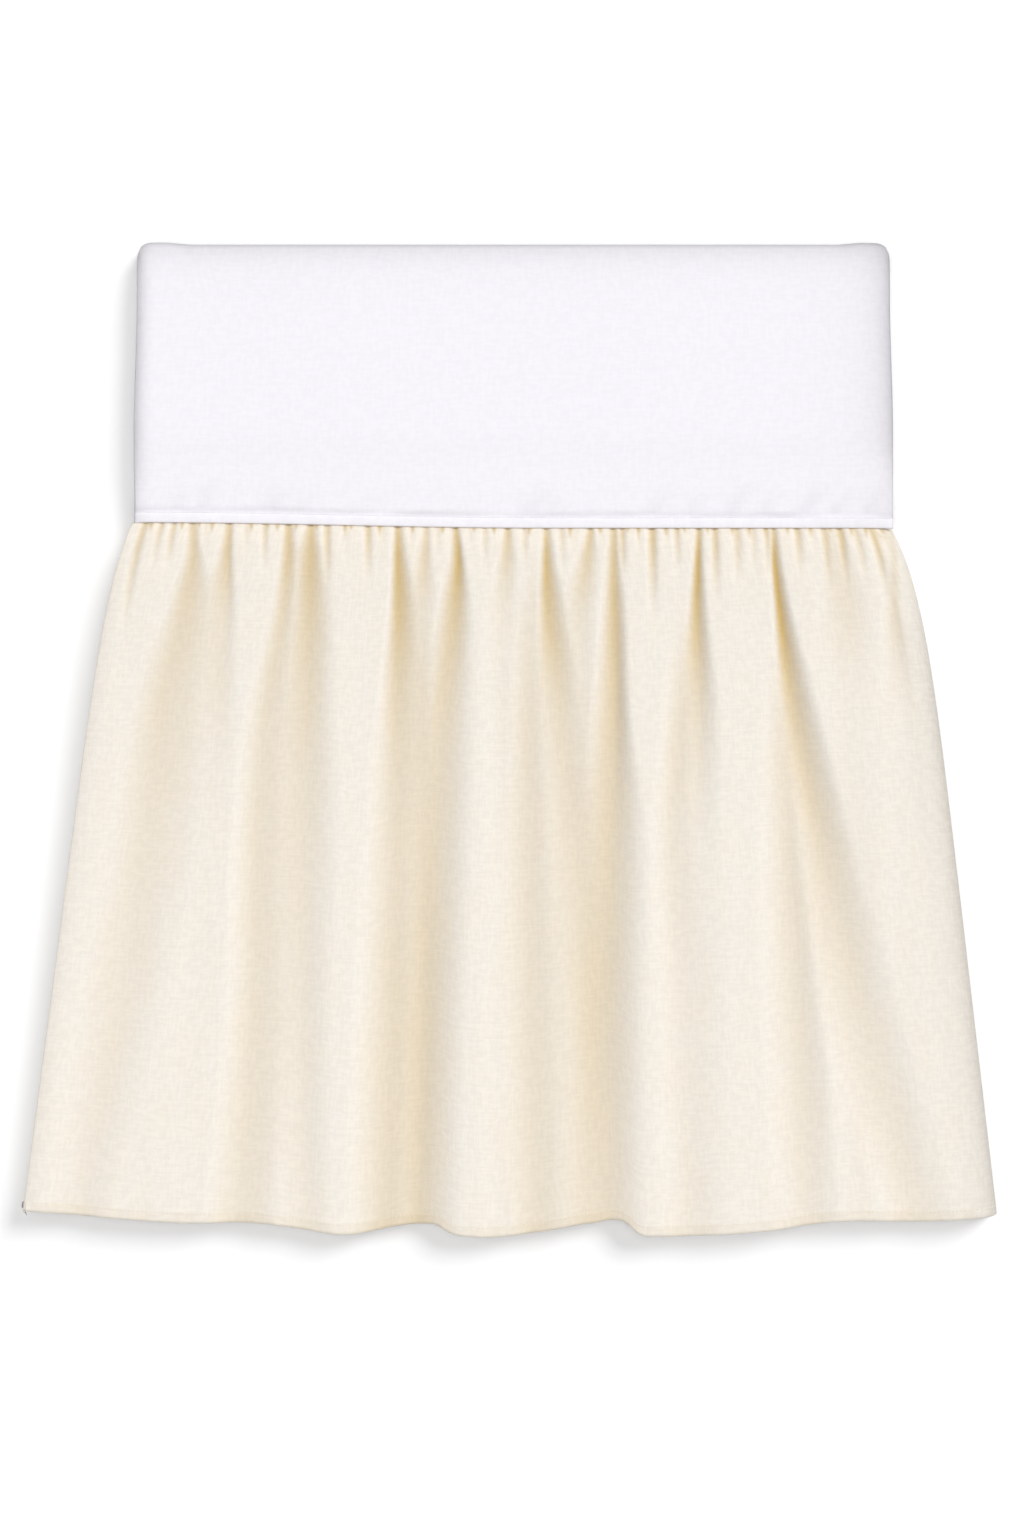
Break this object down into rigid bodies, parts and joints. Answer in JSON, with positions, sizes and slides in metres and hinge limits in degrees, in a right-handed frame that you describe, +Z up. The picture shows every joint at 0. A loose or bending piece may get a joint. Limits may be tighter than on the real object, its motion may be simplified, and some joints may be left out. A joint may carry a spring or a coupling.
{
  "type": "bed skirt",
  "caption": "Gathered bed skirt laid out face up, with its flat deck folded back into a soft pad behind a narrow topstitched seam band and a cream panel that fans out to a narrow hem.",
  "frame": {"origin": "middle of the box that holds the part, on the surface it lies on", "axes": "+Z up, out of the surface; -Y towards the hem; +Y towards the deck's rear fold; X across the panel"},
  "size_m": [0.6374, 0.6496, 0.0237],
  "materials": {
    "deck_cotton": "plain white cotton, matt",
    "band_cotton": "plain white cotton, topstitched, matt",
    "panel_linen": "cream linen-look plain weave, matt"
  },
  "bodies": {
    "root": {"deck": "deck_cotton", "seam_band": "band_cotton", "drop_panel": "panel_linen"}
  },
  "joints": []
}
